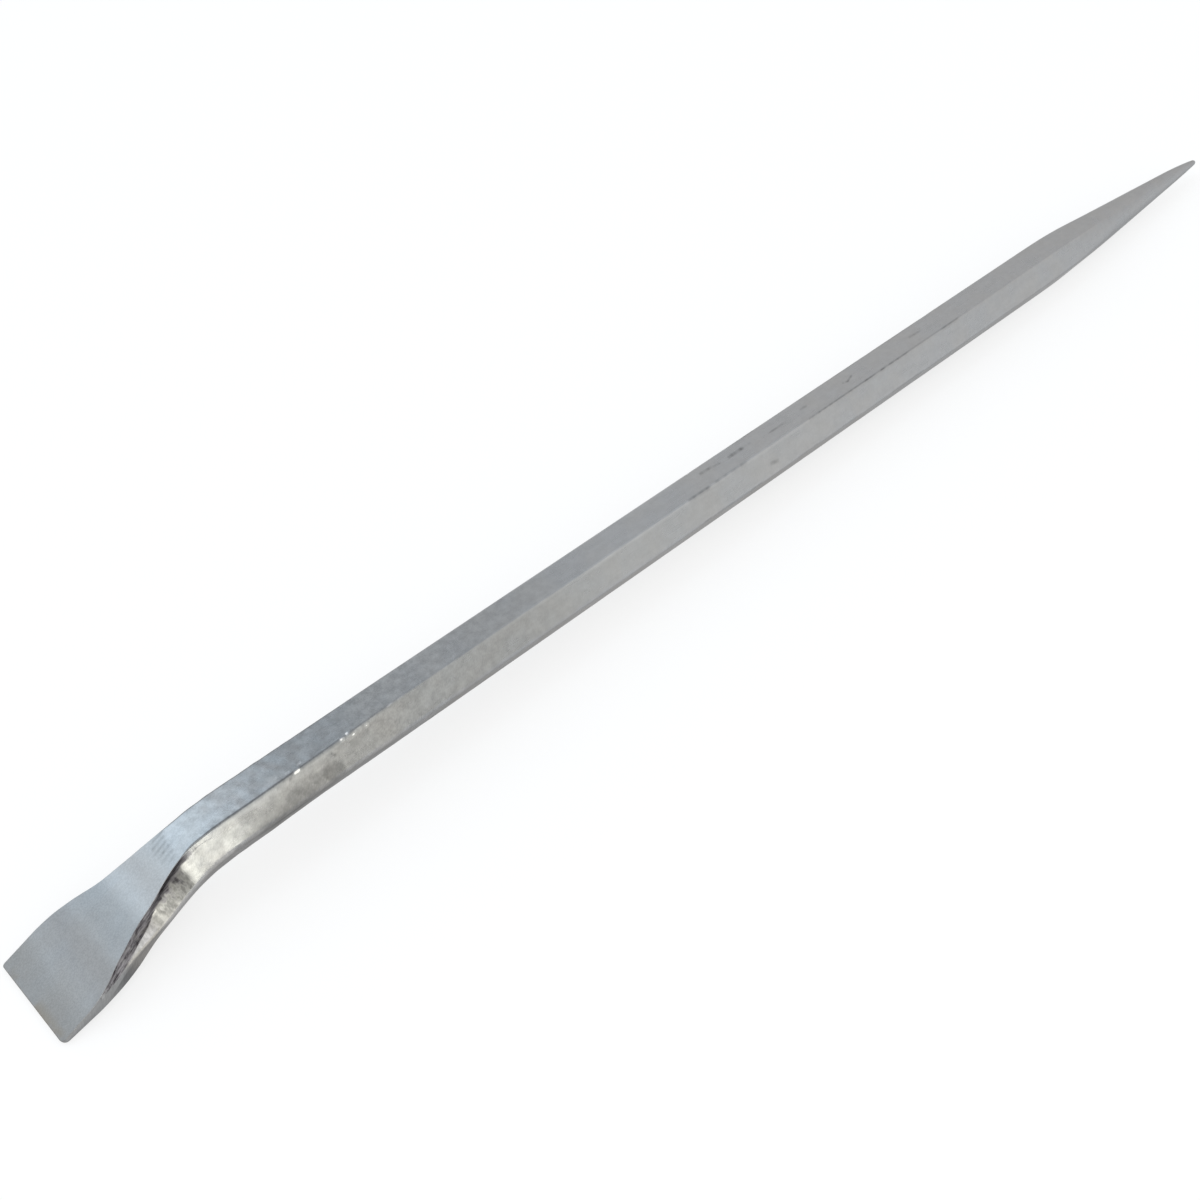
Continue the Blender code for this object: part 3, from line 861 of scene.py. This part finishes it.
def platedSteel():  # zinc-plated forging: cloudy grey, faintly streaked along the bar, oxide in the wall
    material = bpy.data.materials.new("platedSteel")
    material.use_nodes = True
    tree = material.node_tree
    shader = tree.nodes["Principled BSDF"]
    place = addNode(tree, "Attribute", attribute_name="stock").outputs["Vector"]
    oxide = addNode(tree, "Attribute", attribute_name="oxide").outputs["Fac"]
    worn = addNode(tree, "Attribute", attribute_name="worn").outputs["Fac"]
    tone = addNode(tree, "Attribute", attribute_name="tone").outputs["Fac"]
    paintedWarmLight = addNode(tree, "Attribute", attribute_name="paintedWarmLight").outputs["Fac"]
    at = addNode(tree, "SeparateXYZ", {0: place}).outputs["X"]
    noises = {name: pattern(tree, place, **settings) for name, settings in patterns.items()}

    def effect(name):
        half = effects[name]["width"] / 2
        return remap(tree, noises[effects[name]["of"]], 0.5 - half, 0.5 + half, *effects[name]["values"])

    def gradient(name):
        start, end = gradients[name]["at"]
        return remap(tree, at, start * mm, end * mm, *gradients[name]["values"])

    # the steel's colour: painted warm light, clouds, mottling where it was hammered, streaks and scratches
    colour = blend(tree, addUp(tree, paintedWarmLight, effect("cloudWarmth")), finish["cool"], finish["warmLit"])
    hammered = product(tree, gradient("mottleFront"), gradient("mottleBack"))
    uneven = product(tree, effect("mottleShade"), hammered)
    forged = product(tree, effect("wormShade"), remap(tree, oxide, *thresholds["wormsByOxide"]))
    scratched = product(tree, effect("scratchShade"), gradient("scratches"))
    shade = addUp(tree, uneven, forged, scratched, effect("streakShade"), 1.0)
    colour = addNode(tree, "VectorMath", {0: colour, "Scale": shade}, operation="SCALE").outputs[0]
    colour = blend(tree, product(tree, worn, effect("rubbedShare")), colour, finish["bare"])
    stain = product(tree, gradient("rust"), remap(tree, noises["clouds"], *thresholds["rustByClouds"]))
    colour = blend(tree, stain, colour, finish["rust"])

    # oxide: whole in the wall, in spots where there is little of it
    left = remap(tree, addUp(tree, oxide, effect("brokenOxide")), *thresholds["crustByOxide"])
    darkness = addUp(tree, effect("fleckDarkness"), effect("streakDarkness"))
    colour = blend(tree, left, colour, blend(tree, darkness, finish["oxidePale"], finish["oxideDark"]))

    # dark marks and painted shade are darker, and the painted glints on chips are bright, with a ragged
    # edge
    darkMarksAndPaintedShade = addUp(tree, calculate(tree, "MINIMUM", tone, 0.0), 1.0)
    colour = addNode(tree, "VectorMath", {0: colour, "Scale": darkMarksAndPaintedShade}, operation="SCALE").outputs[0]
    glints = remap(tree, addUp(tree, tone, effect("glintEdge")), *thresholds["glintsByTone"])
    colour = blend(tree, glints, colour, finish["paintedGlint"])

    gloss = addUp(tree, effect("cloudGloss"), effect("streakGloss"), gradient("roughness"),
                  product(tree, left, finish["oxideRoughness"]))
    dents = addNode(tree, "Bump", {"Height": noises["mottle"], "Strength": gradient("dents"),
                                   "Distance": finish["dentDepth"]})
    tree.links.new(colour, shader.inputs["Base Color"])
    tree.links.new(gloss, shader.inputs["Roughness"])
    tree.links.new(dents.outputs[0], shader.inputs["Normal"])
    shader.inputs["Metallic"].default_value = 1
    shader.inputs["Specular Tint"].default_value = (finish["edgeTint"],) * 3 + (1,)
    return material


addCamera()
addFloor()
addWorld()
addSoftLamp()
print("camera, floor and lights are set")

forging = growForging()
tilt = Quaternion((0, 1, 0), restAngle([v.co for v in forging.verts]))
bmesh.ops.rotate(forging, verts=forging.verts, cent=(0, 0, 0), matrix=tilt.to_matrix())
low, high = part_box("forged_bar")
first = min(v.co.x for v in forging.verts)
lowest = min(v.co.z for v in forging.verts)
bmesh.ops.translate(forging, verts=forging.verts, vec=(low.x - first, 0, low.z - lowest))
barMesh = bpy.data.meshes.new("forgedBar")
forging.to_mesh(barMesh)
forging.free()
barMesh.shade_smooth()
barMesh.materials.append(platedSteel())
forgedBar = bpy.data.objects.new("forgedBar", barMesh)
bpy.context.scene.collection.objects.link(forgedBar)
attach(forgedBar, "root")
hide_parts("forged_bar")
print("forging:", len(barMesh.vertices), "points,", len(barMesh.polygons), "faces")

bpy.context.scene.view_settings.view_transform = "Standard"
